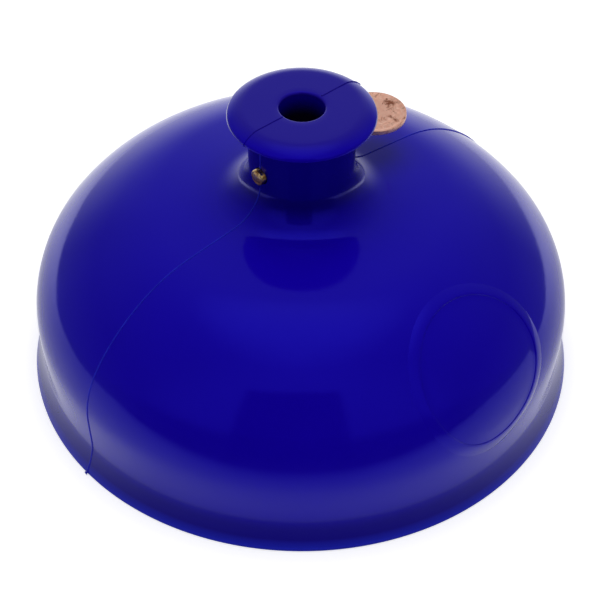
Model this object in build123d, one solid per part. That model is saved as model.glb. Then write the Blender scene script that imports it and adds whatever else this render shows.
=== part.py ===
from build123d import *
import os
from math import radians, tan

# Plunger mute for a brass instrument: a glossy moulded cup with a spool-shaped knob on top.
# A vent runs down through the knob and neck, and a disc on a brass spindle opens and shuts it.
# A worn copper coin in the spindle's slotted end is the thumb tab that turns the valve.
# Millimetres. The cup stands on its lip at Z = 0 with its axis along +Z.
# The spindle and the mould's parting line lie in the XZ plane, with the coin towards +X.

os.makedirs("parts", exist_ok=True)

# Cup wall, from the lip up
lip_radius = 84.0            # outer edge of the lip
lip_edge_height = 0.9        # height of the lip's outer edge above the plane it stands on
lip_width = 4.6              # flat ring that the cup stands on, measured in from the outer edge
lip_slope = 32.0             # degrees above horizontal at which the flare leaves the lip
waist_radius = 80.4
waist_height = 9.7
belly_radius = 81.4          # widest part of the dome
belly_height = 22.9
haunch_bend = 30.0           # three tangent arcs carry the dome from the belly in to the crown
haunch_turn = 36.0           # degrees
shoulder_bend = 55.0
shoulder_turn = 25.0
brow_bend = 41.5
crown_slope = 6.4            # degrees, the flat cone between the brow and the neck
cup_wall = 4.0

# Neck and knob
neck_radius = 15.5
neck_foot_fillet = 11.5
neck_length = 27.0           # from the crown to the lower edge of the knob's rim
knob_radius = 21.4
knob_rim_width = 0.7         # height of the rim's upright band
knob_edge_width = 3.1        # the rounded edge, seen from above
knob_edge_drop = 2.2         # the rounded edge, seen from the side
knob_underside_rise = 2.6
knob_underside_fillet = 4.0
vent_radius = 6.5
vent_edge = 0.8

# Flash along the parting line
flash_width = 0.5
flash_height = 0.3
nib_width = 0.9
nib_height = 1.3
nib_reach = 0.7

# Spindle, a brass rod across the neck
spindle_radius = 2.4
spindle_clearance = 0.05
spindle_rise = 13.0          # the spindle's axis above the crown, at the neck wall
spindle_proud = 1.5          # plain end beyond the neck wall
spindle_chamfer = 0.3

# Valve disc and its screws
disc_clearance = 0.2
disc_thickness = 0.8
screw_radius = 0.8
screw_head_radius = 1.5
screw_head_height = 0.9
screw_head_round = 0.45
screw_slot_width = 0.4
screw_slot_depth = 0.45
screw_depth = 1.5            # how far a screw reaches into the spindle
screw_offset = 3.4           # each screw's distance from the vent's axis
screw_thread_clearance = 0.02
screw_hole_clearance = 0.06

# Coin and its rivet
coin_radius = 9.525
coin_thickness = 1.52
coin_rim_width = 0.8
coin_rim_height = 0.12
coin_gap = 3.5               # from the neck wall to the coin's near edge
coin_grip = 4.6              # how far the spindle's fork reaches over the coin
coin_slot_clearance = 0.02
rivet_radius = 0.7
rivet_inset = 2.6            # from the coin's near edge to the rivet
rivet_head_height = 0.3
rivet_clearance = 0.02

flare_direction = (-1, tan(radians(lip_slope)))
brow_turn = 90 - haunch_turn - shoulder_turn - crown_slope


def wall_curves(growth=0.0):
    """The wall from the waist to the crown, moved outward by growth, or inward if it is negative."""
    waist = (waist_radius + growth, waist_height)
    belly = (belly_radius + growth, belly_height)
    side = Spline(waist, belly, tangents=[(0, 1), (0, 1)])
    haunch = JernArc(belly, (0, 1), haunch_bend + growth, haunch_turn)
    shoulder = JernArc(haunch @ 1, haunch % 1, shoulder_bend + growth, shoulder_turn)
    brow = JernArc(shoulder @ 1, shoulder % 1, brow_bend + growth, brow_turn)
    return [side, haunch, shoulder, brow]


def crown_line_height(radius, growth=0.0):
    """Height of the crown's cone at a radius, moved outward by growth."""
    crown_edge = wall_curves(growth)[-1] @ 1
    return crown_edge.Y + (crown_edge.X - radius) * tan(radians(crown_slope))


neck_foot_height = crown_line_height(neck_radius)
spindle_height = neck_foot_height + spindle_rise
knob_rim_height = neck_foot_height + neck_length
knob_face_height = knob_rim_height + knob_rim_width + knob_edge_drop
knob_face_radius = knob_radius - knob_edge_width
disc_radius = vent_radius - disc_clearance
coin_near_edge = neck_radius + coin_gap
coin_center = coin_near_edge + coin_radius
spindle_start = -(neck_radius + spindle_proud)
spindle_end = coin_near_edge + coin_grip
rivet_center = coin_near_edge + rivet_inset


def moulding_section(growth=0.0):
    """Half section of the moulding, as if solid to its axis, with its outside moved out by growth."""
    wall = wall_curves(growth)
    flare = Spline((lip_radius + growth, lip_edge_height), wall[0] @ 0, tangents=[flare_direction, (0, 1)])
    neck = FilletPolyline(
        wall[-1] @ 1,
        (neck_radius + growth, crown_line_height(neck_radius + growth, growth)),
        (neck_radius + growth, knob_rim_height - knob_underside_rise - growth),
        (knob_radius + growth, knob_rim_height - growth),
        radius=[neck_foot_fillet - growth, knob_underside_fillet - growth],
    )
    rim_top = knob_rim_height + knob_rim_width
    rim = Line(neck @ 1, (knob_radius + growth, rim_top))
    edge = EllipticalCenterArc(
        (knob_face_radius, rim_top),
        knob_edge_width + growth,
        knob_edge_drop + growth,
        arc_size=90,
    )
    closing = Polyline(edge @ 1, (0, knob_face_height + growth), (0, 0), (lip_radius + growth, 0), flare @ 0)
    return make_face(Curve() + [flare, *wall, neck, rim, edge, closing])


def cavity_section():
    """Half section of the hollow, one wall thickness inside the outside, up to the cone's ceiling."""
    wall = wall_curves(-cup_wall)
    flare = Spline((lip_radius - lip_width, 0), wall[0] @ 0, tangents=[flare_direction, (0, 1)])
    peak = (0, crown_line_height(0, -cup_wall))
    closing = Polyline(wall[-1] @ 1, peak, (0, 0), flare @ 0)
    return make_face(Curve() + [flare, *wall, closing])


def vent_section():
    """Half section of the vent, with a rounded mouth in the knob's face."""
    mouth = vent_radius + vent_edge
    rounding = CenterArc((mouth, knob_face_height - vent_edge), vent_edge, 90, 90)
    above = knob_face_height + 2 * flash_height
    below = crown_line_height(0, -cup_wall) - 2 * cup_wall
    wall = Polyline(rounding @ 0, (mouth, above), (0, above), (0, below), (vent_radius, below), rounding @ 1)
    return make_face(Curve() + [rounding, wall])


def flash():
    """Thin raised line where the mould's halves met, all round the moulding in the XZ plane."""
    section = Plane.XZ * moulding_section(flash_height)
    side = extrude(section, flash_width / 2, both=True)
    strip = side + mirror(side, Plane.YZ)
    reach = lip_radius + nib_reach
    strip += Pos(0, 0, nib_height / 2) * Box(2 * reach, nib_width, nib_height)
    knob_nib_end = knob_radius + nib_reach
    knob_nib = Box(knob_nib_end, nib_width, knob_rim_width)
    strip += Pos(knob_nib_end / 2, 0, knob_rim_height + knob_rim_width / 2) * knob_nib
    return strip


def moulded_cup():
    """Lip, cup, neck and knob in one piece, with the vent and the hole for the spindle."""
    cup = revolve(Plane.XZ * moulding_section(), Axis.Z) + flash()
    cup -= revolve(Plane.XZ * cavity_section(), Axis.Z)
    cup -= revolve(Plane.XZ * vent_section(), Axis.Z)
    hole_length = 4 * knob_radius
    cup -= Pos(0, 0, spindle_height) * Rot(0, 90, 0) * Cylinder(spindle_radius + spindle_clearance, hole_length)
    return cup


def valve_spindle():
    """Brass rod with a milled seat for the disc and a forked end that holds the coin."""
    length = spindle_end - spindle_start
    rod = Rot(0, 90, 0) * Cylinder(spindle_radius, length)
    rod = chamfer(rod.edges().filter_by(GeomType.CIRCLE), spindle_chamfer)
    rod = Pos((spindle_start + spindle_end) / 2, 0, 0) * rod
    seat_depth = spindle_radius + disc_thickness / 2
    seat = Box(2 * vent_radius, 2 * spindle_radius, seat_depth)
    rod -= Pos(0, 0, seat_depth / 2 - disc_thickness / 2) * seat
    fork_gap = coin_thickness + 2 * coin_slot_clearance
    rod -= Pos(coin_center, 0, 0) * Box(2 * coin_radius, 2 * spindle_radius, fork_gap)
    rod -= Pos(rivet_center, 0, 0) * Cylinder(rivet_radius + rivet_clearance, 4 * spindle_radius)
    for x in (-screw_offset, screw_offset):
        rod -= Pos(x, 0, 0) * Cylinder(screw_radius + screw_thread_clearance, 4 * spindle_radius)
    return Pos(0, 0, spindle_height) * rod


def valve_disc():
    """Flat disc that shuts the vent when it lies level."""
    disc = Cylinder(disc_radius, disc_thickness)
    for x in (-screw_offset, screw_offset):
        disc -= Pos(x, 0, 0) * Cylinder(screw_radius + screw_hole_clearance, 2 * disc_thickness)
    return Pos(0, 0, spindle_height) * disc


def disc_screw():
    """Small slotted screw with a rounded head, its head's seat at Z = 0."""
    head = Pos(0, 0, screw_head_height / 2) * Cylinder(screw_head_radius, screw_head_height)
    head = fillet(head.edges().group_by(Axis.Z)[-1], screw_head_round)
    shank_length = disc_thickness + screw_depth
    screw = head + Pos(0, 0, -shank_length / 2) * Cylinder(screw_radius, shank_length)
    slot = Box(2 * screw_head_radius, screw_slot_width, screw_slot_depth)
    return screw - Pos(0, 0, screw_head_height - screw_slot_depth / 2) * slot


def disc_screws():
    """The two screws that hold the disc on its seat."""
    seat_height = spindle_height + disc_thickness / 2
    return [Pos(x, 0, seat_height) * disc_screw() for x in (-screw_offset, screw_offset)]


def thumb_coin():
    """Worn coin with a raised rim on both faces."""
    field_thickness = coin_thickness - 2 * coin_rim_height
    coin = Cylinder(coin_radius, coin_thickness)
    for side in (1, -1):
        field = Cylinder(coin_radius - coin_rim_width, coin_rim_height)
        coin -= Pos(0, 0, side * (field_thickness + coin_rim_height) / 2) * field
    coin = Pos(coin_center, 0, 0) * coin
    coin -= Pos(rivet_center, 0, 0) * Cylinder(rivet_radius + rivet_clearance, 2 * coin_thickness)
    return Pos(0, 0, spindle_height) * coin


def coin_rivet():
    """Brass pin through the fork and the coin, with both ends peened over."""
    length = 2 * (spindle_radius + rivet_head_height)
    rivet = Cylinder(rivet_radius, length)
    rivet = fillet(rivet.edges().filter_by(GeomType.CIRCLE), rivet_head_height)
    return Pos(rivet_center, 0, spindle_height) * rivet


nodes = {
    "moulded_cup": moulded_cup(),
    "valve_spindle": valve_spindle(),
    "valve_disc": valve_disc(),
    "disc_screws": Compound(children=disc_screws()),
    "thumb_coin": thumb_coin(),
    "coin_rivet": coin_rivet(),
}

for name, shape in nodes.items():
    export_step(shape, f"parts/{name}.step")
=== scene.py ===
import math

import bpy
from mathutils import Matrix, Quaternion, Vector
from mathutils.geometry import interpolate_bezier


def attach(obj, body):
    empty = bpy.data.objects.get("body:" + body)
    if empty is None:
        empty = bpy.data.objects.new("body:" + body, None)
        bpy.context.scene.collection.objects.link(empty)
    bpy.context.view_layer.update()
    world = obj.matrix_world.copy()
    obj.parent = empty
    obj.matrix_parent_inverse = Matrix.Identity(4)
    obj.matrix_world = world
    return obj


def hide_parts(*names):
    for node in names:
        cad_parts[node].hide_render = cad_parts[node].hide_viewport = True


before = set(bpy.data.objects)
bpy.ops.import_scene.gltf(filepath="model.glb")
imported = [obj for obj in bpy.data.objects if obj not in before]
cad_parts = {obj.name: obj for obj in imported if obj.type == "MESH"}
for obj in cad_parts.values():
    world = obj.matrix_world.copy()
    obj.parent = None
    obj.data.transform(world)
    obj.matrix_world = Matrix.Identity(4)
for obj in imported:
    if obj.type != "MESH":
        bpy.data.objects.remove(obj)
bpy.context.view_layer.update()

# The camera stands a little over half a metre off, in front of the spindle's plain end and the
# bare roundel, and looks down on the cup at 44 degrees through a long lens.
camera_azimuth = math.radians(-41.34)
camera_elevation = math.radians(44.174)
camera_distance = 0.52594
camera_roll = math.radians(0.343)
camera_target = Vector((0, 0, 0.01763))
towards_camera = Vector((
    math.sin(camera_azimuth) * math.cos(camera_elevation),
    -math.cos(camera_azimuth) * math.cos(camera_elevation),
    math.sin(camera_elevation),
))
camera_data = bpy.data.cameras.new("camera")
camera_data.sensor_width = 36
camera_data.lens = 100.93
camera_data.shift_x = -0.00143
camera_data.shift_y = 0.00303
camera = bpy.data.objects.new("camera", camera_data)
bpy.context.scene.collection.objects.link(camera)
camera.location = camera_target + towards_camera * camera_distance
camera.rotation_mode = "QUATERNION"
level_aim = (-towards_camera).to_track_quat("-Z", "Y")
camera.rotation_quaternion = level_aim @ Quaternion((0, 0, 1), camera_roll)
bpy.context.scene.camera = camera

# The moulded cup: lip, dome, neck and knob in one piece of soft plasticised vinyl, dyed through.
# It comes out of a polished two-part mould, so it is glossy, and the mould's halves leave a thin
# flash line over it in the plane of the spindle, with a nib at each end.
MM = 0.001
cup_wall = 4.0
lip = Vector((83.8, 0.6))
waist = Vector((80.95, 9.6))
belly = Vector((81.4, 22.9))
haunch_bend = 30.0
haunch_turn = 36
shoulder_bend = 55.0
shoulder_turn = 25
brow_bend = 41.5
brow_turn = 22.6
crown_slope = 6.4
neck_radius = 15.5
neck_foot_bend = 11.5
knob_radius = 21.4
knob_rim_height = 91.265
knob_rim_top = 91.8
knob_rim_bend = 0.25
knob_underside_rise = 2.6
knob_underside_bend = 4.0
knob_face_radius = 16.3
knob_face_height = 94.165
vent_radius = 6.5
vent_edge = 0.8
ceiling_at_vent = 61.25
inner_crown = Vector((41.9, 57.279))
inner_waist = Vector((76.9, 9.6))
inner_lip = Vector((79.4, 0.0))
edge_bend = 0.3
lip_bend = 0.8
crease_bend = 6.0
spindle_height = 77.265
spindle_hole_radius = 2.6


def bend(start, heading, radius, turn, steps):
    """Points along an arc from start, on a heading, to the left, or right if turn is negative."""
    side = math.copysign(90, turn)
    to_centre = math.radians(heading + side)
    centre = start + radius * Vector((math.cos(to_centre), math.sin(to_centre)))
    points = []
    for step in range(1, steps + 1):
        angle = math.radians(heading - side + turn * step / steps)
        points.append(centre + radius * Vector((math.cos(angle), math.sin(angle))))
    return points


def corner(before, at, after, radius, steps):
    """Points round a corner of the outline, rounded to a radius."""
    heading = math.degrees(math.atan2(at.y - before.y, at.x - before.x))
    leaving = math.degrees(math.atan2(after.y - at.y, after.x - at.x))
    turn = (leaving - heading + 180) % 360 - 180
    start = at + (before - at).normalized() * radius * math.tan(math.radians(abs(turn) / 2))
    return [start] + bend(start, heading, radius, turn, steps)


def curve(start, start_handle, end_handle, end, steps):
    """Points along a Bezier curve after its start."""
    points = interpolate_bezier(start, start_handle, end_handle, end, steps + 1)
    return [point.to_2d() for point in points[1:]]


def between(start, end, steps):
    """Points inside a straight run."""
    return [start.lerp(end, step / steps) for step in range(1, steps)]


# Half its outline in millimetres, from the lip's underside up the outside, down the vent and down
# the inside, back to the lip. The flare leaves the lip 25 degrees off upright and meets the crease
# at the waist 11 degrees off upright.
up = Vector((0, 1))
flare_turn = Vector((-math.sin(math.radians(25)), math.cos(math.radians(25))))
flare_rise = Vector((-math.sin(math.radians(11)), math.cos(math.radians(11))))
flare_handle = 3.0
side_handle = 4.6
inner_side_handle = 4.734
lip_foot = Vector((lip.x, 0.0))
outline = corner(inner_lip, lip_foot, lip, edge_bend, 3)
outline += corner(lip_foot, lip, lip + flare_turn, lip_bend, 3)
flare_start = outline[-1]
crease = corner(waist - flare_rise, waist, waist + up, crease_bend, 4)
outline += curve(
    flare_start,
    flare_start + flare_turn * flare_handle,
    crease[0] - flare_rise * flare_handle,
    crease[0],
    9,
)
outline += crease[1:]
outline += curve(outline[-1], outline[-1] + up * side_handle, belly - up * side_handle, belly, 8)
outline += bend(outline[-1], 90, haunch_bend, haunch_turn, 12)
outline += bend(outline[-1], 90 + haunch_turn, shoulder_bend, shoulder_turn, 14)
outline += bend(outline[-1], 90 + haunch_turn + shoulder_turn, brow_bend, brow_turn, 9)
crown_edge = outline[-1]
crown_rise = (crown_edge.x - neck_radius) * math.tan(math.radians(crown_slope))
neck_foot = Vector((neck_radius, crown_edge.y + crown_rise))
neck_top = Vector((neck_radius, knob_rim_height - knob_underside_rise))
knob_corner = Vector((knob_radius, knob_rim_height))
foot_round = corner(crown_edge, neck_foot, neck_top, neck_foot_bend, 16)
top_round = corner(neck_foot, neck_top, knob_corner, knob_underside_bend, 8)
outline += between(crown_edge, foot_round[0], 5) + foot_round
outline += between(foot_round[-1], top_round[0], 4) + top_round
rim_top = Vector((knob_radius, knob_rim_top))
rim_handle = rim_top + Vector((-0.9, 1.0))
face_edge = Vector((knob_face_radius, knob_face_height))
face_handle = face_edge + Vector((2.2, 0))
outline += corner(neck_top, knob_corner, rim_top, knob_rim_bend, 4)
outline += curve(rim_top, rim_handle, face_handle, face_edge, 12)
mouth = Vector((vent_radius + vent_edge, knob_face_height))
outline += between(outline[-1], mouth, 5) + [mouth] + bend(mouth, 180, vent_edge, 90, 5)
vent_foot = corner(outline[-1], Vector((vent_radius, ceiling_at_vent)), inner_crown, edge_bend, 3)
outline += between(outline[-1], vent_foot[0], 9) + vent_foot
outline += between(outline[-1], inner_crown, 7) + [inner_crown]
outline += bend(outline[-1], -crown_slope, brow_bend - cup_wall, -brow_turn, 7)
outline += bend(
    outline[-1], haunch_turn + shoulder_turn - 90, shoulder_bend - cup_wall, -shoulder_turn, 10,
)
outline += bend(outline[-1], haunch_turn - 90, haunch_bend - cup_wall, -haunch_turn, 10)
inner_belly = outline[-1]
outline += curve(
    inner_belly,
    inner_belly - up * inner_side_handle,
    inner_waist + up * inner_side_handle,
    inner_waist,
    6,
)
inner_flare_end = inner_lip + flare_turn * 0.5
outline += curve(
    inner_waist,
    inner_waist - up * flare_handle,
    inner_lip + flare_turn * flare_handle,
    inner_flare_end,
    7,
)
outline += corner(inner_flare_end, inner_lip, lip_foot, edge_bend, 3)


def deselect_everything():
    """Leaves nothing selected, so that the next operator acts on what is added next."""
    bpy.ops.object.select_all(action="DESELECT")


def name_new_piece(name):
    """Names the object that was just added, and gives it back."""
    piece = bpy.context.object
    piece.name = name
    piece.data.name = name
    return piece


def pick_faces(piece, wanted):
    """In edit mode, selects only the faces that wanted says yes to."""
    bpy.ops.mesh.select_mode(type="FACE")
    bpy.ops.mesh.select_all(action="DESELECT")
    bpy.ops.object.mode_set(mode="OBJECT")
    for face in piece.data.polygons:
        face.select = wanted(face)
    bpy.ops.object.mode_set(mode="EDIT")


def apply_boolean(piece, tool, operation):
    """Cuts or joins tool into piece, and removes the tool."""
    modifier = piece.modifiers.new(operation.lower(), "BOOLEAN")
    modifier.operation = operation
    modifier.solver = "EXACT"
    modifier.object = tool
    bpy.context.view_layer.objects.active = piece
    bpy.ops.object.modifier_apply(modifier=modifier.name)
    bpy.data.objects.remove(tool)


deselect_everything()
bpy.ops.mesh.primitive_plane_add(size=MM, location=(0, 0, 0))
cup = name_new_piece("cup_moulding")
bpy.ops.object.mode_set(mode="EDIT")
bpy.ops.mesh.merge(type="CENTER")
drawn_to = Vector((0, 0, 0))
for point in outline:
    next_point = Vector((point.x, 0, point.y)) * MM
    if point is outline[0]:
        bpy.ops.transform.translate(value=next_point)
    else:
        bpy.ops.mesh.extrude_vertices_move(TRANSFORM_OT_translate={"value": next_point - drawn_to})
    drawn_to = next_point
bpy.ops.mesh.select_all(action="SELECT")
bpy.ops.mesh.edge_face_add()
bpy.ops.mesh.delete(type="ONLY_FACE")
bpy.ops.mesh.select_all(action="SELECT")
bpy.ops.mesh.spin(steps=288, angle=2 * math.pi, center=(0, 0, 0), axis=(0, 0, 1))
bpy.ops.mesh.select_all(action="SELECT")
bpy.ops.mesh.remove_doubles(threshold=0.00001)
bpy.ops.mesh.normals_make_consistent(inside=False)
bpy.ops.object.mode_set(mode="OBJECT")

deselect_everything()
bpy.ops.mesh.primitive_cylinder_add(
    vertices=64,
    radius=spindle_hole_radius * MM,
    depth=2 * knob_radius * MM,
    location=(0, 0, spindle_height * MM),
    rotation=(0, math.pi / 2, 0),
)
apply_boolean(cup, bpy.context.object, "DIFFERENCE")
cup.select_set(True)

# The flash: the strip of the skin between two cuts beside the parting plane, pulled out and
# narrowed twice. Its outer face ends in small nibs at the lip and on the knob's rim.
flash_width = 0.5
flash_height = 0.26
lip_nib_height = 1.3
lip_nib_reach = (0.2, 0.18)
knob_nib_reach = (0.15, 0.25)
nib_widening = 5.3
bpy.ops.object.mode_set(mode="EDIT")
for side in (-1, 1):
    bpy.ops.mesh.select_all(action="SELECT")
    bpy.ops.mesh.bisect(
        plane_co=(0, side * flash_width / 2 * MM, 0), plane_no=(0, 1, 0), threshold=0.000001,
    )
bpy.ops.mesh.select_all(action="SELECT")
bpy.ops.mesh.remove_doubles(threshold=0.000005)


def on_parting_line(face):
    """Whether a face lies between the two cuts, on the outside of the moulding."""
    x, y, z = face.center / MM
    outward = face.normal.x * math.copysign(1, x)
    inside_of_vent = abs(x) < vent_radius + vent_edge
    faces_out = outward > 0.02 or face.normal.z > 0.5
    return abs(y) < flash_width / 2 and faces_out and not inside_of_vent and z > edge_bend


def at_lip_edge(face, side):
    """Whether a face is the flash's outer face at the lip, on one side of the cup."""
    x, y, z = face.center / MM
    on_top = abs(y) < flash_width / 6 and side * face.normal.x > 0.8
    return on_top and side * x > lip.x - 0.2 and z < lip_nib_height


def at_knob_rim(face):
    """Whether a face is the flash's outer face on the knob's rim, on the coin's side."""
    x, y, z = face.center / MM
    return abs(y) < flash_width / 6 and x > knob_radius and knob_rim_height < z < knob_rim_top


def on_flash(face):
    """Whether a face belongs to the flash or its nibs below the knob's face, not to the wall."""
    on_its_side = abs(face.normal.y) > 0.3 and abs(face.center.y) < flash_width * MM
    return (on_parting_line(face) or on_its_side) and face.center.z < knob_rim_height * MM


pick_faces(cup, on_parting_line)
for narrowing in (0.75, 0.45):
    bpy.ops.mesh.extrude_region_shrink_fatten(
        MESH_OT_extrude_region={}, TRANSFORM_OT_shrink_fatten={"value": flash_height / 2 * MM},
    )
    bpy.ops.transform.resize(value=(1, narrowing, 1), center_override=(0, 0, 0))
for side in (-1, 1):
    pick_faces(cup, lambda face: at_lip_edge(face, side))
    bpy.ops.mesh.extrude_region_move(
        TRANSFORM_OT_translate={"value": (side * lip_nib_reach[0] * MM, 0, 0)},
    )
    bpy.ops.transform.resize(value=(1, nib_widening, 1), center_override=(0, 0, 0))
    bpy.ops.mesh.extrude_region_move(
        TRANSFORM_OT_translate={"value": (side * lip_nib_reach[1] * MM, 0, 0)},
    )
pick_faces(cup, at_knob_rim)
bpy.ops.mesh.extrude_region_move(TRANSFORM_OT_translate={"value": (knob_nib_reach[0] * MM, 0, 0)})
bpy.ops.transform.resize(value=(1, nib_widening, 1), center_override=(0, 0, 0))
bpy.ops.mesh.extrude_region_move(TRANSFORM_OT_translate={"value": (knob_nib_reach[1] * MM, 0, 0)})
pick_faces(cup, on_flash)
bpy.ops.object.material_slot_add()
bpy.ops.object.material_slot_add()
bpy.ops.object.material_slot_assign()
bpy.ops.object.mode_set(mode="OBJECT")
bpy.ops.object.shade_smooth_by_angle(angle=math.radians(32))
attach(cup, "cup")
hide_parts("moulded_cup")


def linear(hex_color):
    """An sRGB hex colour as linear RGBA."""
    values = [int(hex_color[i:i + 2], 16) / 255 for i in (1, 3, 5)]
    return [v / 12.92 if v <= 0.04045 else ((v + 0.055) / 1.055) ** 2.4 for v in values] + [1]


def new_material(name):
    """An empty node material, with its node tree and its output."""
    material = bpy.data.materials.new(name)
    material.use_nodes = True
    tree = material.node_tree
    tree.nodes.clear()
    output = tree.nodes.new("ShaderNodeOutputMaterial")
    return material, tree, output


def add_node(tree, kind, settings=None, values=None, links=None):
    """Adds a node with its settings, its sockets' values and the links that reach it."""
    node = tree.nodes.new(kind)
    for key, value in (settings or {}).items():
        setattr(node, key, value)
    for key, value in (values or {}).items():
        node.inputs[key].default_value = value
    for key, source in (links or {}).items():
        tree.links.new(source, node.inputs[key])
    return node


# Dyed vinyl from a polished mould: one deep ultramarine all through and a smooth skin that mirrors
# the studio softly, with long shallow waves where the wall shrank and faint smears from handling.
# The knob's face is rubbed duller and the vent is matt. Painted shade darkens the vent, the neck
# under the knob and the flare, and a painted glow lightens the lip's thin edge.
vinyl, tree, output = new_material("glossy_moulded_vinyl")
where = add_node(tree, "ShaderNodeTexCoord")
shrink_waves = add_node(
    tree, "ShaderNodeTexNoise",
    values={"Scale": 1 / 0.022, "Detail": 1.0, "Roughness": 0.4},
    links={"Vector": where.outputs["Object"]},
)
orange_peel = add_node(
    tree, "ShaderNodeTexNoise",
    values={"Scale": 1 / 0.0025, "Detail": 2.0, "Roughness": 0.5},
    links={"Vector": where.outputs["Object"]},
)
waves_bump = add_node(
    tree, "ShaderNodeBump",
    values={"Strength": 1.0, "Distance": 0.00012},
    links={"Height": shrink_waves.outputs["Fac"]},
)
skin_bump = add_node(
    tree, "ShaderNodeBump",
    values={"Strength": 1.0, "Distance": 0.000004},
    links={"Height": orange_peel.outputs["Fac"], "Normal": waves_bump.outputs["Normal"]},
)
smears = add_node(
    tree, "ShaderNodeTexNoise",
    values={"Scale": 1 / 0.03, "Detail": 5.0, "Roughness": 0.6},
    links={"Vector": where.outputs["Object"]},
)
spot = add_node(tree, "ShaderNodeSeparateXYZ", links={"Vector": where.outputs["Object"]})
flat_spot = add_node(
    tree, "ShaderNodeCombineXYZ", links={"X": spot.outputs["X"], "Y": spot.outputs["Y"]},
)
off_axis = add_node(
    tree, "ShaderNodeVectorMath", settings={"operation": "LENGTH"},
    links={0: flat_spot.outputs[0]},
)
# Painted shade in the vent: the colour darkens deeper down it, and the vent is also made matt
# there.
in_vent = add_node(
    tree, "ShaderNodeMapRange", settings={"interpolation_type": "SMOOTHSTEP"},
    values={"From Min": 0.0067, "From Max": 0.0071, "To Min": 1.0, "To Max": 0.0},
    links={"Value": off_axis.outputs["Value"]},
)
down_vent = add_node(
    tree, "ShaderNodeMapRange", settings={"interpolation_type": "SMOOTHSTEP"},
    values={"From Min": 0.0930, "From Max": 0.0860, "To Min": 0.0, "To Max": 1.0},
    links={"Value": spot.outputs["Z"]},
)
vent_painted_shade_and_matt = add_node(
    tree, "ShaderNodeMath", settings={"operation": "MULTIPLY"},
    links={0: in_vent.outputs["Result"], 1: down_vent.outputs["Result"]},
)
on_face = add_node(
    tree, "ShaderNodeMapRange",
    values={"From Min": 0.0926, "From Max": 0.0940},
    links={"Value": spot.outputs["Z"]},
)
gloss = add_node(
    tree, "ShaderNodeMapRange",
    values={"From Min": 0.3, "From Max": 0.75, "To Min": 0.07, "To Max": 0.13},
    links={"Value": smears.outputs["Fac"]},
)
handled = add_node(
    tree, "ShaderNodeMath", settings={"operation": "MULTIPLY_ADD"}, values={1: 0.09},
    links={0: on_face.outputs["Result"], 2: gloss.outputs["Result"]},
)
dulled = add_node(
    tree, "ShaderNodeMath", settings={"operation": "MULTIPLY_ADD"}, values={1: 0.3},
    links={0: vent_painted_shade_and_matt.outputs[0], 2: handled.outputs[0]},
)
# Painted shade on the neck under the knob's overhang.
on_neck = add_node(
    tree, "ShaderNodeMapRange", settings={"interpolation_type": "SMOOTHSTEP"},
    values={"From Min": 0.0160, "From Max": 0.0185, "To Min": 1.0, "To Max": 0.0},
    links={"Value": off_axis.outputs["Value"]},
)
below_knob = add_node(
    tree, "ShaderNodeMapRange", settings={"interpolation_type": "SMOOTHSTEP"},
    values={"From Min": 0.0885, "From Max": 0.0905, "To Min": 0.4, "To Max": 0.0},
    links={"Value": spot.outputs["Z"]},
)
neck_painted_shade = add_node(
    tree, "ShaderNodeMath", settings={"operation": "MULTIPLY"},
    links={0: on_neck.outputs["Result"], 1: below_knob.outputs["Result"]},
)
all_painted_shade = add_node(
    tree, "ShaderNodeMath", settings={"operation": "MAXIMUM"},
    links={0: vent_painted_shade_and_matt.outputs[0], 1: neck_painted_shade.outputs[0]},
)
dye = add_node(
    tree, "ShaderNodeMix", settings={"data_type": "RGBA"},
    values={"A": linear("#1200A0"), "B": linear("#1400AA")},
    links={"Factor": smears.outputs["Fac"]},
)
rubbed_face = add_node(
    tree, "ShaderNodeMix", settings={"data_type": "RGBA"}, values={"B": linear("#1B0C8C")},
    links={"Factor": on_face.outputs["Result"], "A": dye.outputs["Result"]},
)
# Painted shade: the colour darkens from just above the waist's crease down over the flare.
flare_painted_shade_mask = add_node(
    tree, "ShaderNodeMapRange", settings={"interpolation_type": "SMOOTHSTEP"},
    values={"From Min": 0.0125, "From Max": 0.006, "To Min": 0.0, "To Max": 1.0},
    links={"Value": spot.outputs["Z"]},
)
flare_painted_shade = add_node(
    tree, "ShaderNodeMix", settings={"data_type": "RGBA"}, values={"B": linear("#0E0078")},
    links={"Factor": flare_painted_shade_mask.outputs["Result"], "A": rubbed_face.outputs["Result"]},
)
# Painted glow: the lip's lowest few millimetres are lightened, as if light came through its thin
# edge.
lip_edge_painted_glow_mask = add_node(
    tree, "ShaderNodeMapRange",
    values={"From Min": 0.0036, "From Max": 0.0002, "To Min": 0.0, "To Max": 0.55},
    links={"Value": spot.outputs["Z"]},
)
lip_edge_painted_glow = add_node(
    tree, "ShaderNodeMix", settings={"data_type": "RGBA"}, values={"B": linear("#2A3CF0")},
    links={"Factor": lip_edge_painted_glow_mask.outputs["Result"], "A": flare_painted_shade.outputs["Result"]},
)
# Here the painted shade of the vent and the neck darkens the colour.
colour = add_node(
    tree, "ShaderNodeMix", settings={"data_type": "RGBA"}, values={"B": linear("#040018")},
    links={"Factor": all_painted_shade.outputs[0], "A": lip_edge_painted_glow.outputs["Result"]},
)
shader = add_node(
    tree, "ShaderNodeBsdfPrincipled",
    values={"IOR": 1.53, "Specular IOR Level": 0.9, "Specular Tint": linear("#3838FF")},
    links={
        "Base Color": colour.outputs["Result"],
        "Roughness": dulled.outputs[0],
        "Normal": skin_bump.outputs["Normal"],
    },
)
tree.links.new(shader.outputs["BSDF"], output.inputs["Surface"])
cup.data.materials[0] = vinyl

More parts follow.
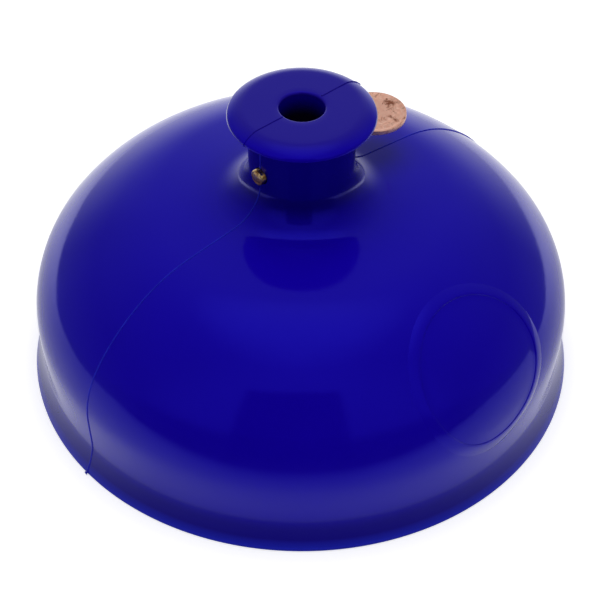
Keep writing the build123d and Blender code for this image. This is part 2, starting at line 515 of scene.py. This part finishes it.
# The flash is the same vinyl with a painted highlight: lighter blue patches make it show as a
# lighter and duller blue line.
flash_painted_highlight_vinyl, tree, output = new_material("flash_vinyl_painted_highlight")
where = add_node(tree, "ShaderNodeTexCoord")
flash_highlight_patches = add_node(
    tree, "ShaderNodeTexNoise", values={"Scale": 1 / 0.004, "Detail": 2.0},
    links={"Vector": where.outputs["Object"]},
)
# The painted highlight: patches of lighter blue along the flash.
flash_painted_highlight = add_node(
    tree, "ShaderNodeMix", settings={"data_type": "RGBA"},
    values={"A": linear("#1208A0"), "B": linear("#282ED4")},
    links={"Factor": flash_highlight_patches.outputs["Fac"]},
)
shader = add_node(
    tree, "ShaderNodeBsdfPrincipled",
    values={"IOR": 1.53, "Roughness": 0.25, "Specular Tint": linear("#6464FF")},
    links={"Base Color": flash_painted_highlight.outputs["Result"]},
)
tree.links.new(shader.outputs["BSDF"], output.inputs["Surface"])
cup.data.materials[1] = flash_painted_highlight_vinyl

# The roundel: a round badge moulded into the dome, a quarter turn from the parting line, here
# left bare. It is the cup's own vinyl: a soft low ring with a sharp inner step round a plain
# floor. It is drawn flat above the dome, ring by ring, and then pressed on to it.
roundel_azimuth = math.radians(-86.6)
roundel_slope = math.radians(39.03)
roundel_way = Vector((
    math.cos(roundel_slope) * math.cos(roundel_azimuth),
    math.cos(roundel_slope) * math.sin(roundel_azimuth),
    math.sin(roundel_slope),
))
roundel_off_axis = 73.9
roundel_height = 42.83
roundel_centre = Vector((
    roundel_off_axis * math.cos(roundel_azimuth),
    roundel_off_axis * math.sin(roundel_azimuth),
    roundel_height,
))
roundel_lift = 9
roundel_wall = 0.6
floor_step = 2.085
roundel_rings = [
    (24.9, -0.14), (24.6, -0.03), (24.2, 0.05), (23.7, 0.14), (23.2, 0.22), (22.6, 0.29),
    (22.0, 0.34), (21.55, 0.35), (21.3, 0.3), (21.1, 0.09), (20.9, 0.035),
]
floor_radius, floor_height = roundel_rings[-1]
roundel_rings += [(floor_radius - floor_step * step, floor_height) for step in range(1, 10)]

deselect_everything()
bpy.ops.mesh.primitive_circle_add(
    vertices=160,
    radius=roundel_rings[0][0] * MM,
    fill_type="NGON",
    location=(roundel_centre + roundel_way * roundel_lift) * MM,
    rotation=(0, math.pi / 2 - roundel_slope, roundel_azimuth),
    scale=(0.975, 1.025, 1),
)
roundel = name_new_piece("cup_roundel")
bpy.ops.object.mode_set(mode="EDIT")
for (outer, _), (inner, _) in zip(roundel_rings, roundel_rings[1:]):
    bpy.ops.mesh.inset(thickness=(outer - inner) * MM, use_even_offset=True)
bpy.ops.mesh.poke()
bpy.ops.object.mode_set(mode="OBJECT")


def nearest_ring(vertex):
    """The number of the ring that a vertex of the flat roundel lies on."""
    off_centre = vertex.co.xy.length / MM
    numbers = range(len(roundel_rings))
    return min(numbers, key=lambda number: abs(off_centre - roundel_rings[number][0]))


ring_of_vertex = [nearest_ring(vertex) for vertex in roundel.data.vertices]
wrap = roundel.modifiers.new("wrap", "SHRINKWRAP")
wrap.target = cup
wrap.wrap_method = "PROJECT"
wrap.use_project_z = True
wrap.use_negative_direction = True
wrap.use_positive_direction = False
bpy.ops.object.modifier_apply(modifier=wrap.name)
bpy.ops.object.transform_apply(location=True, rotation=True, scale=True)
for number, (_, height) in enumerate(roundel_rings):
    bpy.ops.object.mode_set(mode="EDIT")
    bpy.ops.mesh.select_mode(type="VERT")
    bpy.ops.mesh.select_all(action="DESELECT")
    bpy.ops.object.mode_set(mode="OBJECT")
    for vertex in roundel.data.vertices:
        vertex.select = ring_of_vertex[vertex.index] == number
    bpy.ops.object.mode_set(mode="EDIT")
    bpy.ops.transform.shrink_fatten(value=height * MM)
    bpy.ops.object.mode_set(mode="OBJECT")
thickness = roundel.modifiers.new("thickness", "SOLIDIFY")
thickness.thickness = roundel_wall * MM
thickness.offset = -1
bpy.ops.object.modifier_apply(modifier=thickness.name)
bpy.ops.object.shade_smooth_by_angle(angle=math.radians(32))
roundel.data.materials.append(vinyl)
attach(roundel, "cup")

# The valve spindle: a brass rod turned to size right across the neck, with a seat milled flat for
# the disc and its far end sawn into a fork for the coin. Its plain end is faced off in the lathe.
spindle_radius = 2.4
spindle_start = -17.0
spindle_end = 23.6
spindle_bevel = 0.3
disc_thickness = 0.8
coin_near_edge = 19.0
fork_gap = 1.56
seat_length = 13.0
screw_places = (-3.4, 3.4)
screw_hole_radius = 0.82
rivet_place = 21.6
rivet_hole_radius = 0.72

deselect_everything()
bpy.ops.mesh.primitive_cylinder_add(
    vertices=96,
    radius=spindle_radius * MM,
    depth=(spindle_end - spindle_start) * MM,
    location=((spindle_start + spindle_end) / 2 * MM, 0, spindle_height * MM),
    rotation=(0, -math.pi / 2, 0),
)
bpy.ops.object.transform_apply(location=True, rotation=True, scale=True)
spindle = name_new_piece("spindle_rod")
bpy.ops.object.mode_set(mode="EDIT")
pick_faces(spindle, lambda face: abs(face.normal.x) > 0.9)
bpy.ops.mesh.bevel(offset=spindle_bevel * MM, offset_type="OFFSET", segments=3, affect="EDGES")
pick_faces(spindle, lambda face: face.normal.x < -0.99)
turned_steps = (
    (0.25, 0.0), (0.08, -0.07), (0.12, 0.0), (0.1, 0.06), (0.4, 0.06), (0.5, 0.03), (0.4, 0.01),
)
for inward, rise in turned_steps:
    bpy.ops.mesh.inset(thickness=inward * MM, depth=rise * MM)
bpy.ops.mesh.poke()
bpy.ops.object.mode_set(mode="OBJECT")
seat_cut = (
    (0, 0, spindle_radius / 2),
    (seat_length, 2 * spindle_radius + 0.2, spindle_radius + disc_thickness),
)
fork_cut = (
    ((coin_near_edge + spindle_end) / 2 + 0.5, 0, 0),
    (spindle_end - coin_near_edge + 1, 2.5 * spindle_radius, fork_gap),
)
for (x, y, z), size in (seat_cut, fork_cut):
    deselect_everything()
    bpy.ops.mesh.primitive_cube_add(
        size=MM, location=(x * MM, y * MM, (spindle_height + z) * MM), scale=size,
    )
    apply_boolean(spindle, bpy.context.object, "DIFFERENCE")
holes = [(x, screw_hole_radius) for x in screw_places] + [(rivet_place, rivet_hole_radius)]
for x, radius in holes:
    deselect_everything()
    bpy.ops.mesh.primitive_cylinder_add(
        vertices=32,
        radius=radius * MM,
        depth=3 * spindle_radius * MM,
        location=(x * MM, 0, spindle_height * MM),
    )
    apply_boolean(spindle, bpy.context.object, "DIFFERENCE")
spindle.select_set(True)
bpy.ops.object.shade_smooth_by_angle(angle=math.radians(32))
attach(spindle, "valve")
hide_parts("valve_spindle")

# Turned yellow brass: bright gold where it is rubbed, browner where it has tarnished, with the
# lathe's fine rings on its end and round its length.
brass, tree, output = new_material("turned_yellow_brass")
where = add_node(tree, "ShaderNodeTexCoord")
on_axis = add_node(
    tree, "ShaderNodeMapping", values={"Location": (0, 0, -spindle_height * MM)},
    links={"Vector": where.outputs["Object"]},
)
turned_rings = add_node(
    tree, "ShaderNodeTexWave", settings={"wave_type": "RINGS", "rings_direction": "X"},
    values={"Scale": 0.314 / 0.00022, "Distortion": 1.5, "Detail": 2.0, "Detail Scale": 1.5},
    links={"Vector": on_axis.outputs["Vector"]},
)
tarnish = add_node(
    tree, "ShaderNodeTexNoise", values={"Scale": 1 / 0.0016, "Detail": 4.0, "Roughness": 0.6},
    links={"Vector": where.outputs["Object"]},
)
tarnished = add_node(
    tree, "ShaderNodeMapRange", settings={"interpolation_type": "SMOOTHSTEP"},
    values={"From Min": 0.4, "From Max": 0.6}, links={"Value": tarnish.outputs["Fac"]},
)
brass_colour = add_node(
    tree, "ShaderNodeMix", settings={"data_type": "RGBA"},
    values={"A": linear("#F6D490"), "B": linear("#B4804A")},
    links={"Factor": tarnished.outputs["Result"]},
)
rod_gloss = add_node(
    tree, "ShaderNodeMapRange",
    values={"To Min": 0.2, "To Max": 0.34},
    links={"Value": tarnished.outputs["Result"]},
)
along = add_node(tree, "ShaderNodeSeparateXYZ", links={"Vector": where.outputs["Object"]})
faced_end = add_node(
    tree, "ShaderNodeMapRange",
    values={"From Min": -0.0166, "From Max": -0.0169, "To Min": 0.0, "To Max": 0.12},
    links={"Value": along.outputs["X"]},
)
brass_gloss = add_node(
    tree, "ShaderNodeMath", settings={"operation": "ADD"},
    links={0: rod_gloss.outputs[0], 1: faced_end.outputs[0]},
)
lathe_bump = add_node(
    tree, "ShaderNodeBump",
    values={"Strength": 1.0, "Distance": 0.000006},
    links={"Height": turned_rings.outputs["Fac"]},
)
shader = add_node(
    tree, "ShaderNodeBsdfPrincipled", values={"Metallic": 1.0},
    links={
        "Base Color": brass_colour.outputs["Result"],
        "Roughness": brass_gloss.outputs[0],
        "Normal": lathe_bump.outputs["Normal"],
    },
)
tree.links.new(shader.outputs["BSDF"], output.inputs["Surface"])
spindle.data.materials.append(brass)

# The valve disc, its two screws and the coin's rivet are the same brass, cut from sheet, turned and
# peened. They keep the frame's own shapes.
for name in ("valve_disc", "disc_screws", "coin_rivet"):
    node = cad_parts[name]
    node.data.materials.clear()
    node.data.materials.append(brass)

# The thumb coin: a copper coin worn almost smooth, pinched in the spindle's fork and riveted there.
# Its rim still stands proud, and a worn wreath of leaves and a few blurred patches are left inside.
coin_radius = 9.525
coin_thickness = 1.52
coin_edge_bevel = 0.16
coin_rim_width = 0.5
coin_rim_slopes = ((0.14, -0.05), (0.14, -0.05), (0.2, 0.0))
coin_rim_height = 0.1
coin_centre = Vector((coin_near_edge + coin_radius, 0, spindle_height))
field_radius = 8.3
rivet_boss_radius = 1.2
leaf_rows = ((7.35, 28), (6.15, -28))
leaves_in_row = 20
leaf_half_length = 1.15
leaf_half_width = 0.4
leaf_row_reach = 1.1
leaf_height = 0.1
wear_depth = 0.13

deselect_everything()
bpy.ops.mesh.primitive_cylinder_add(
    vertices=320, radius=coin_radius * MM, depth=coin_thickness * MM, location=coin_centre * MM,
)
bpy.ops.object.transform_apply(location=True, rotation=True, scale=True)
coin = name_new_piece("coin_worn")
bpy.ops.object.mode_set(mode="EDIT")
pick_faces(coin, lambda face: abs(face.normal.z) > 0.9)
bpy.ops.mesh.bevel(
    offset=coin_edge_bevel * MM, offset_type="OFFSET", segments=3, affect="EDGES",
)
for side in (-1, 1):
    pick_faces(coin, lambda face: side * face.normal.z > 0.99)
    bpy.ops.mesh.inset(thickness=coin_rim_width * MM)
    for inward, rise in coin_rim_slopes:
        bpy.ops.mesh.inset(thickness=inward * MM, depth=rise * MM)
    bpy.ops.mesh.delete(type="ONLY_FACE")
    bpy.ops.mesh.select_mode(type="EDGE")
    bpy.ops.mesh.select_all(action="DESELECT")
    bpy.ops.mesh.select_non_manifold()
    bpy.ops.mesh.fill_grid(span=80)


def in_leaf(place):
    """Whether a point of a face, in mm from the coin's centre, lies in a leaf of the wreath."""
    for row_radius, slant in leaf_rows:
        if abs(place.length - row_radius) > leaf_row_reach:
            continue
        for number in range(leaves_in_row):
            angle = 2 * math.pi * (number + (slant < 0) * 0.5) / leaves_in_row
            leaf_angle = angle + math.radians(90 + slant)
            offset = place - row_radius * Vector((math.cos(angle), math.sin(angle)))
            along = Vector((math.cos(leaf_angle), math.sin(leaf_angle)))
            length_share = offset.dot(along) / leaf_half_length
            width_share = offset.cross(along) / leaf_half_width
            if length_share ** 2 + width_share ** 2 < 1:
                return True
    return False


def is_worn(place):
    """Whether a point, in mm from the coin's centre, is in its field and clear of the rivet."""
    from_rivet = place.xy - Vector((rivet_place - coin_centre.x, 0))
    return place.xy.length < field_radius and from_rivet.length > rivet_boss_radius


field_half = coin_thickness / 2 - coin_rim_height
for side in (-1, 1):
    bpy.ops.mesh.select_mode(type="VERT")
    bpy.ops.mesh.select_all(action="DESELECT")
    bpy.ops.object.mode_set(mode="OBJECT")
    for vertex in coin.data.vertices:
        place = vertex.co / MM - coin_centre
        on_this_face = side * place.z > field_half - 0.02
        vertex.select = on_this_face and is_worn(place) and in_leaf(place.xy)
    bpy.ops.object.mode_set(mode="EDIT")
    bpy.ops.transform.translate(value=(0, 0, side * leaf_height * MM))
bpy.ops.mesh.select_all(action="DESELECT")
bpy.ops.object.mode_set(mode="OBJECT")
for vertex in coin.data.vertices:
    vertex.select = is_worn(vertex.co / MM - coin_centre)
bpy.ops.object.mode_set(mode="EDIT")
bpy.ops.mesh.vertices_smooth(factor=0.5, repeat=1)
bpy.ops.object.vertex_group_assign_new()
bpy.ops.mesh.select_all(action="SELECT")
bpy.ops.mesh.normals_make_consistent(inside=False)
bpy.ops.object.mode_set(mode="OBJECT")
worn_patches = bpy.data.textures.new("worn_patches", "CLOUDS")
worn_patches.noise_scale = 1.4 * MM
worn_patches.noise_depth = 2
wear = coin.modifiers.new("wear", "DISPLACE")
wear.texture = worn_patches
wear.texture_coords = "LOCAL"
wear.vertex_group = coin.vertex_groups[0].name
wear.mid_level = 0.75
wear.strength = wear_depth * MM
bpy.ops.object.modifier_apply(modifier=wear.name)
deselect_everything()
bpy.ops.mesh.primitive_cylinder_add(
    vertices=32,
    radius=rivet_hole_radius * MM,
    depth=3 * coin_thickness * MM,
    location=(rivet_place * MM, 0, spindle_height * MM),
)
apply_boolean(coin, bpy.context.object, "DIFFERENCE")
coin.select_set(True)
bpy.ops.object.shade_smooth_by_angle(angle=math.radians(40))
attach(coin, "valve")
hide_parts("thumb_coin")

# Struck copper-plated coin metal, worn by thumbs: pale pink copper where it is rubbed bright, brown
# patina in blotches, and a soft satin gloss with fine scratches.
copper, tree, output = new_material("worn_struck_copper")
where = add_node(tree, "ShaderNodeTexCoord")
patina_cloud = add_node(
    tree, "ShaderNodeTexNoise",
    values={"Scale": 1 / 0.0042, "Detail": 6.0, "Roughness": 0.72, "Distortion": 0.5},
    links={"Vector": where.outputs["Object"]},
)
patina = add_node(
    tree, "ShaderNodeMapRange", settings={"interpolation_type": "SMOOTHSTEP"},
    values={"From Min": 0.5, "From Max": 0.64}, links={"Value": patina_cloud.outputs["Fac"]},
)
blush_cloud = add_node(
    tree, "ShaderNodeTexNoise", values={"Scale": 1 / 0.0012, "Detail": 3.0, "Roughness": 0.6},
    links={"Vector": where.outputs["Object"]},
)
rubbed = add_node(
    tree, "ShaderNodeMix", settings={"data_type": "RGBA"},
    values={"A": linear("#FFD8C4"), "B": linear("#EE9E80")},
    links={"Factor": blush_cloud.outputs["Fac"]},
)
copper_colour = add_node(
    tree, "ShaderNodeMix", settings={"data_type": "RGBA"}, values={"B": linear("#8A4A2E")},
    links={"Factor": patina.outputs["Result"], "A": rubbed.outputs["Result"]},
)
copper_gloss = add_node(
    tree, "ShaderNodeMapRange",
    values={"To Min": 0.28, "To Max": 0.5},
    links={"Value": patina.outputs["Result"]},
)
scratches = add_node(
    tree, "ShaderNodeTexNoise", values={"Scale": 1 / 0.0003, "Detail": 3.0, "Roughness": 0.7},
    links={"Vector": where.outputs["Object"]},
)
scratch_bump = add_node(
    tree, "ShaderNodeBump",
    values={"Strength": 1.0, "Distance": 0.00003},
    links={"Height": scratches.outputs["Fac"]},
)
shader = add_node(
    tree, "ShaderNodeBsdfPrincipled", values={"Metallic": 0.6},
    links={
        "Base Color": copper_colour.outputs["Result"],
        "Roughness": copper_gloss.outputs["Result"],
        "Normal": scratch_bump.outputs["Normal"],
    },
)
tree.links.new(shader.outputs["BSDF"], output.inputs["Surface"])
coin.data.materials.append(copper)

# The table: a small white laminate top that the mute stands on, a hair below the lip.
table_size = 0.7
table_gap = 0.05
deselect_everything()
bpy.ops.mesh.primitive_plane_add(
    size=table_size, location=(0, 0, -table_gap * MM), rotation=(0, 0, camera_azimuth),
)
bpy.ops.object.transform_apply(location=True, rotation=True, scale=True)
table_top = name_new_piece("table_top")

# White laminate, matt: the camera sees it as plain white with the cup's shadow on it. In the cup's
# gloss it has a painted glow towards the back of the tent and beside the lip and is painted darker
# towards the camera, and the glow it throws on the cup fades near the lip as a painted shadow.
table_white, tree, output = new_material("white_laminate_table_top")
path = add_node(tree, "ShaderNodeLightPath")
where = add_node(tree, "ShaderNodeTexCoord")
to_back = add_node(
    tree, "ShaderNodeVectorMath", settings={"operation": "DOT_PRODUCT"},
    values={1: (-math.sin(camera_azimuth), math.cos(camera_azimuth), 0)},
    links={0: where.outputs["Object"]},
)
back_glow = add_node(
    tree, "ShaderNodeMapRange", settings={"interpolation_type": "SMOOTHSTEP"},
    values={"From Min": -0.02, "From Max": 0.16, "To Min": 0.0, "To Max": 0.5},
    links={"Value": to_back.outputs["Value"]},
)
off_centre = add_node(
    tree, "ShaderNodeVectorMath", settings={"operation": "LENGTH"},
    links={0: where.outputs["Object"]},
)
near_lip = add_node(
    tree, "ShaderNodeMapRange",
    values={"From Min": 0.116, "From Max": 0.084},
    links={"Value": off_centre.outputs["Value"]},
)
near_glow = add_node(
    tree, "ShaderNodeMath", settings={"operation": "POWER"},
    values={1: 2.0},
    links={0: near_lip.outputs["Result"]},
)
to_side = add_node(
    tree, "ShaderNodeVectorMath", settings={"operation": "DOT_PRODUCT"},
    values={1: (math.cos(camera_azimuth), math.sin(camera_azimuth), 0)},
    links={0: where.outputs["Object"]},
)
either_side = add_node(
    tree, "ShaderNodeMath", settings={"operation": "ABSOLUTE"}, links={0: to_side.outputs["Value"]},
)
beside_cup = add_node(
    tree, "ShaderNodeMapRange", settings={"interpolation_type": "SMOOTHSTEP"},
    values={"From Min": 0.05, "From Max": 0.08, "To Min": 0.0, "To Max": 0.38},
    links={"Value": either_side.outputs[0]},
)
# Painted glow seen only in the cup's gloss: towards the back, and beside the lip.
table_glow = add_node(
    tree, "ShaderNodeMath", settings={"operation": "MULTIPLY_ADD"},
    links={
        0: near_glow.outputs[0],
        1: beside_cup.outputs["Result"],
        2: back_glow.outputs["Result"],
    },
)
mirrored = add_node(
    tree, "ShaderNodeMath", settings={"operation": "MAXIMUM"},
    links={0: path.outputs["Is Glossy Ray"], 1: path.outputs["Is Transmission Ray"]},
)
mirrored_glow = add_node(
    tree, "ShaderNodeMath", settings={"operation": "MULTIPLY"},
    links={0: mirrored.outputs[0], 1: table_glow.outputs[0]},
)
# Painted shadow: the glow that lights the cup fades out near the lip.
beyond_shadow = add_node(
    tree, "ShaderNodeMapRange", settings={"interpolation_type": "SMOOTHSTEP"},
    values={"From Min": 0.084, "From Max": 0.125, "To Min": 0.0, "To Max": 0.8},
    links={"Value": off_centre.outputs["Value"]},
)
lit_glow = add_node(
    tree, "ShaderNodeMath", settings={"operation": "MULTIPLY_ADD"},
    links={
        0: path.outputs["Is Diffuse Ray"],
        1: beyond_shadow.outputs["Result"],
        2: mirrored_glow.outputs[0],
    },
)
seen_glow = add_node(
    tree, "ShaderNodeMath", settings={"operation": "MULTIPLY_ADD"}, values={1: 0.5},
    links={0: path.outputs["Is Camera Ray"], 2: lit_glow.outputs[0]},
)
# Painted shade: in the cup's gloss the table goes dark towards the camera.
past_front = add_node(
    tree, "ShaderNodeMapRange", settings={"interpolation_type": "SMOOTHSTEP"},
    values={"From Min": -0.11, "From Max": -0.19}, links={"Value": to_back.outputs["Value"]},
)
unlit_in_gloss = add_node(
    tree, "ShaderNodeMath", settings={"operation": "MULTIPLY"},
    links={0: mirrored.outputs[0], 1: past_front.outputs["Result"]},
)
table_colour = add_node(
    tree, "ShaderNodeMix", settings={"data_type": "RGBA"},
    values={"A": linear("#F4F4F4"), "B": linear("#404040")},
    links={"Factor": unlit_in_gloss.outputs[0]},
)
laminate = add_node(tree, "ShaderNodeBsdfDiffuse", links={"Color": table_colour.outputs["Result"]})
glow = add_node(tree, "ShaderNodeEmission", links={"Strength": seen_glow.outputs[0]})
table_shader = add_node(
    tree, "ShaderNodeAddShader", links={0: laminate.outputs[0], 1: glow.outputs[0]},
)
tree.links.new(table_shader.outputs[0], output.inputs["Surface"])
table_top.data.materials.append(table_white)

# The softbox: one large lamp overhead, through the tent's cloth roof. It adds to the light on the
# table, and the cup's gloss doesn't mirror it.
softbox_data = bpy.data.lights.new("softbox", "AREA")
softbox_data.size = 0.5
softbox_data.energy = 1.8
softbox = bpy.data.objects.new("softbox", softbox_data)
bpy.context.scene.collection.objects.link(softbox)
softbox.location = (0, 0, 0.75)
softbox.visible_glossy = False

# The tent: white cloth all round. It is bright overhead and behind the cup and dim low down at the
# sides, and a dark card with the camera in it fills the middle of its front. Seen directly, it is
# plain white.
world = bpy.data.worlds.new("white_tent")
bpy.context.scene.world = world
world.use_nodes = True
tree = world.node_tree
tree.nodes.clear()
output = tree.nodes.new("ShaderNodeOutputWorld")
way = add_node(tree, "ShaderNodeTexCoord")
upward = add_node(tree, "ShaderNodeSeparateXYZ", links={0: way.outputs["Generated"]})
to_front = add_node(
    tree, "ShaderNodeVectorMath", settings={"operation": "DOT_PRODUCT"},
    values={1: (math.sin(camera_azimuth), -math.cos(camera_azimuth), 0)},
    links={0: way.outputs["Generated"]},
)
to_right = add_node(
    tree, "ShaderNodeVectorMath", settings={"operation": "DOT_PRODUCT"},
    values={1: (math.cos(camera_azimuth), math.sin(camera_azimuth), 0)},
    links={0: way.outputs["Generated"]},
)
roof = add_node(tree, "ShaderNodeValToRGB", links={"Fac": upward.outputs["Z"]})
roof_stops = ((0.0, 0.23), (0.35, 0.25), (0.6, 0.42), (0.8, 0.56), (0.88, 0.7), (0.95, 1.3))
for position, brightness in roof_stops:
    stop = roof.color_ramp.elements.new(position)
    stop.color = (brightness, brightness, brightness, 1)
roof.color_ramp.elements.remove(roof.color_ramp.elements[0])
roof.color_ramp.elements[-1].color = (1.6, 1.6, 1.6, 1)
front_panels = add_node(
    tree, "ShaderNodeMapRange", settings={"interpolation_type": "SMOOTHSTEP"},
    values={"From Min": 0.25, "From Max": 0.7, "To Min": 0.0, "To Max": 0.38},
    links={"Value": to_front.outputs["Value"]},
)
above_table = add_node(
    tree, "ShaderNodeMapRange", settings={"interpolation_type": "SMOOTHSTEP"},
    values={"From Min": 0.1, "From Max": 0.4, "To Min": -0.4, "To Max": 1.0},
    links={"Value": upward.outputs["Z"]},
)
front_light = add_node(
    tree, "ShaderNodeMath", settings={"operation": "MULTIPLY_ADD"},
    links={0: front_panels.outputs[0], 1: above_table.outputs[0], 2: roof.outputs["Color"]},
)
towards_wall = add_node(
    tree, "ShaderNodeMapRange",
    values={"From Min": -0.6, "From Max": -1.0, "To Min": 0.0, "To Max": 1.15},
    links={"Value": to_front.outputs["Value"]},
)
back_wall = add_node(
    tree, "ShaderNodeMath", settings={"operation": "POWER"},
    values={1: 2.0},
    links={0: towards_wall.outputs[0]},
)
low_down = add_node(
    tree, "ShaderNodeMapRange", settings={"interpolation_type": "SMOOTHSTEP"},
    values={"From Min": 0.05, "From Max": 0.95, "To Min": 1.0, "To Max": 0.0},
    links={"Value": upward.outputs["Z"]},
)
whole_tent = add_node(
    tree, "ShaderNodeMath", settings={"operation": "MULTIPLY_ADD"},
    links={0: back_wall.outputs[0], 1: low_down.outputs[0], 2: front_light.outputs[0]},
)
across = add_node(
    tree, "ShaderNodeMath", settings={"operation": "DIVIDE"},
    links={0: to_right.outputs["Value"], 1: to_front.outputs["Value"]},
)
from_card_centre = add_node(
    tree, "ShaderNodeMath", settings={"operation": "ADD"},
    values={1: 0.08},
    links={0: across.outputs[0]},
)
off_card_centre = add_node(
    tree, "ShaderNodeMath", settings={"operation": "ABSOLUTE"},
    links={0: from_card_centre.outputs[0]},
)
in_width = add_node(
    tree, "ShaderNodeMapRange", settings={"interpolation_type": "SMOOTHSTEP"},
    values={"From Min": 0.40, "From Max": 0.45, "To Min": 1.0, "To Max": 0.0},
    links={"Value": off_card_centre.outputs[0]},
)
steepness = add_node(
    tree, "ShaderNodeMath", settings={"operation": "DIVIDE"},
    links={0: upward.outputs["Z"], 1: to_front.outputs["Value"]},
)
below_head = add_node(
    tree, "ShaderNodeMapRange", settings={"interpolation_type": "SMOOTHSTEP"},
    values={"From Min": 1.12, "From Max": 1.22, "To Min": 1.0, "To Max": 0.0},
    links={"Value": steepness.outputs[0]},
)
in_front = add_node(
    tree, "ShaderNodeMath", settings={"operation": "GREATER_THAN"}, values={1: 0.0},
    links={0: to_front.outputs["Value"]},
)
card_column = add_node(
    tree, "ShaderNodeMath", settings={"operation": "MULTIPLY"},
    links={0: in_width.outputs[0], 1: below_head.outputs[0]},
)
card = add_node(
    tree, "ShaderNodeMath", settings={"operation": "MULTIPLY"},
    links={0: card_column.outputs[0], 1: in_front.outputs[0]},
)
around_card = add_node(
    tree, "ShaderNodeMapRange",
    values={"To Min": 1.0, "To Max": 0.06},
    links={"Value": card.outputs[0]},
)
tent = add_node(
    tree, "ShaderNodeMath", settings={"operation": "MULTIPLY"},
    links={0: whole_tent.outputs[0], 1: around_card.outputs[0]},
)
path = add_node(tree, "ShaderNodeLightPath")
soft_light = add_node(
    tree, "ShaderNodeMapRange", settings={"interpolation_type": "SMOOTHSTEP"},
    values={"From Min": 0.1, "From Max": 0.9, "To Min": 0.52, "To Max": 0.76},
    links={"Value": upward.outputs["Z"]},
)
lighting = add_node(
    tree, "ShaderNodeMapRange", values={"To Min": 0.8},
    links={"Value": path.outputs["Is Diffuse Ray"], "To Max": soft_light.outputs["Result"]},
)
lit_tent = add_node(
    tree, "ShaderNodeMath", settings={"operation": "MULTIPLY"},
    links={0: tent.outputs[0], 1: lighting.outputs[0]},
)
strength = add_node(
    tree, "ShaderNodeMix", settings={"data_type": "FLOAT"}, values={3: 1.0},
    links={"Factor": path.outputs["Is Camera Ray"], 2: lit_tent.outputs[0]},
)
backdrop = add_node(
    tree, "ShaderNodeBackground", values={"Color": linear("#FFFFFF")},
    links={"Strength": strength.outputs["Result"]},
)
tree.links.new(backdrop.outputs[0], output.inputs["Surface"])

bpy.context.scene.view_settings.view_transform = "Standard"
